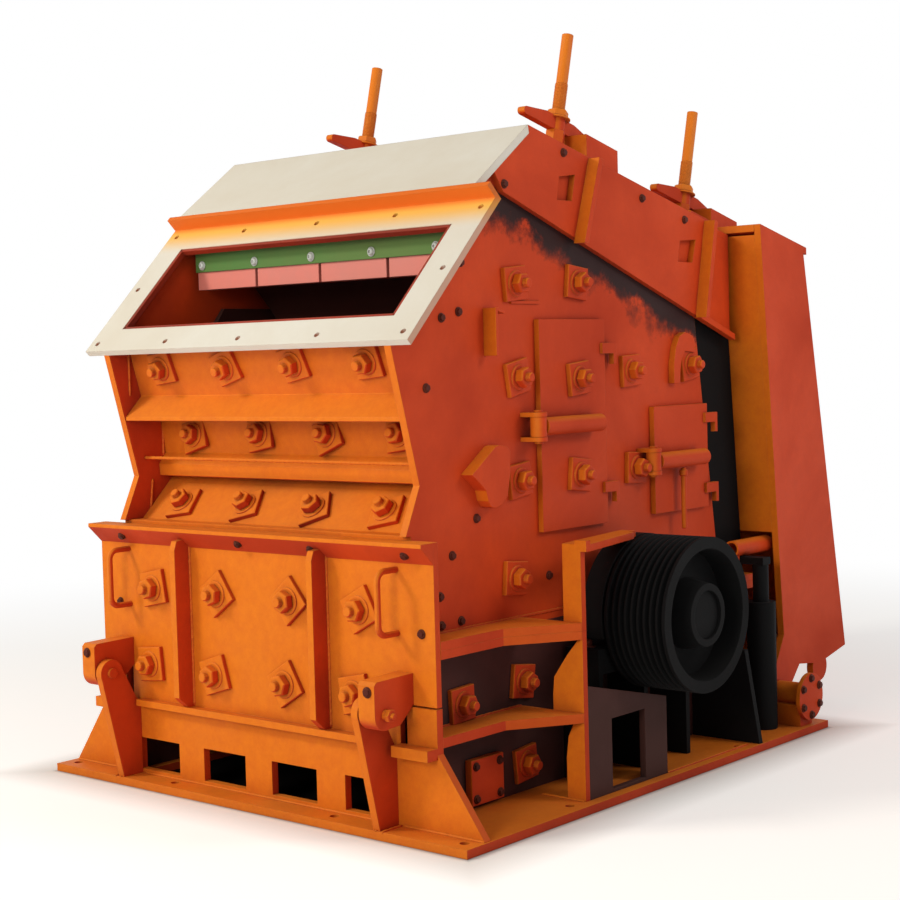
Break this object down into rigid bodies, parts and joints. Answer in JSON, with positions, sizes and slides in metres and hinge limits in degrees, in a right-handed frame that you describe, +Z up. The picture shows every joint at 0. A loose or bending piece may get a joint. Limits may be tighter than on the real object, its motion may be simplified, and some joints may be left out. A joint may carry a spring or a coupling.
{
  "type": "impact crusher",
  "caption": "Horizontal-shaft impact crusher: welded orange housing with sloping feed flange, drop-down front door, swing-back rear housing, bladed rotor and grooved drive sheave.",
  "frame": {"origin": "centre of the anchor hole pattern, on the underside of the base frame", "axes": "+X to the sheave side, +Y from the feed side to the rear housing, +Z up"},
  "size_m": [2.267, 2.951, 2.8626],
  "materials": {
    "orange_paint": "satin orange machine paint, worn at edges",
    "cream_paint": "satin cream paint",
    "black_paint": "matt black paint",
    "shaft_steel": "turned steel",
    "wear_steel": "dark wear steel",
    "green_paint": "green paint",
    "red_block": "red painted blocks"
  },
  "bodies": {
    "housing": {"base_frame": "orange_paint", "lower_front_wall": "orange_paint", "lower_rear_wall": "orange_paint", "lower_side_walls": "orange_paint", "lower_rails": "orange_paint", "upper_flanges": "orange_paint", "pedestals": "orange_paint", "pedestal_cheeks": "black_paint", "bearing_brackets": "orange_paint", "bearings": "black_paint", "guard_plates": "orange_paint", "sheave_guard": "black_paint", "closing_plates": "black_paint", "upper_side_wall_right": "orange_paint", "upper_side_wall_left": "orange_paint", "side_liners": "wear_steel", "front_wall": "orange_paint", "chin_plate": "orange_paint", "feed_flange": "cream_paint", "roof_front": "cream_paint", "roof_top": "orange_paint", "roof_beams": "orange_paint", "rod_seats": "orange_paint", "rod_levers": "orange_paint", "curtain_bar": "green_paint", "curtain_blocks": "red_block", "apron_shafts": "shaft_steel", "hinge_fins": "orange_paint", "corner_plates": "orange_paint", "rear_pivots": "orange_paint", "stay_tubes": "orange_paint", "lift_cylinders": "black_paint", "clevises": "orange_paint", "front_apron": "wear_steel", "rear_apron": "wear_steel", "front_rods": "orange_paint", "rear_rods": "orange_paint"},
    "rotor": {"rotor_body": "wear_steel", "blow_bars": "wear_steel", "rotor_shaft": "shaft_steel", "sheave": "black_paint"},
    "front_door": {"front_door_panel": "orange_paint", "front_door_ribs": "orange_paint", "front_door_ears": "orange_paint", "front_door_handles": "orange_paint"},
    "rear_housing": {"rear_sides": "orange_paint", "rear_flange": "orange_paint", "rear_shell": "orange_paint"},
    "door_front_right": {"side_door_front_right": "orange_paint"},
    "door_front_left": {"side_door_front_left": "orange_paint"},
    "door_rear_right": {"side_door_rear_right": "orange_paint"},
    "door_rear_left": {"side_door_rear_left": "orange_paint"}
  },
  "joints": [
    {"name": "rotor_spin", "type": "hinge", "parent": "housing", "child": "rotor", "pos_m": [0, 0.059, 0.635], "axis": [1, 0, 0], "continuous": true},
    {"name": "front_door_swing", "type": "hinge", "parent": "housing", "child": "front_door", "pos_m": [0, -1.226, 0.438], "axis": [1, 0, 0], "range_deg": [0, 90]},
    {"name": "rear_housing_swing", "type": "hinge", "parent": "housing", "child": "rear_housing", "pos_m": [0, 1.071, 0.15], "axis": [-1, 0, 0], "range_deg": [0, 20]},
    {"name": "front_side_door_right", "type": "hinge", "parent": "housing", "child": "door_front_right", "pos_m": [0.8065, -0.424, 1.3475], "axis": [0, 0, -1], "range_deg": [0, 110]},
    {"name": "front_side_door_left", "type": "hinge", "parent": "housing", "child": "door_front_left", "pos_m": [-0.8065, -0.424, 1.3475], "axis": [0, 0, 1], "range_deg": [0, 110]},
    {"name": "rear_side_door_right", "type": "hinge", "parent": "housing", "child": "door_rear_right", "pos_m": [0.8065, 0.307, 1.1775], "axis": [0, 0, -1], "range_deg": [0, 110]},
    {"name": "rear_side_door_left", "type": "hinge", "parent": "housing", "child": "door_rear_left", "pos_m": [-0.8065, 0.307, 1.1775], "axis": [0, 0, 1], "range_deg": [0, 110]}
  ]
}
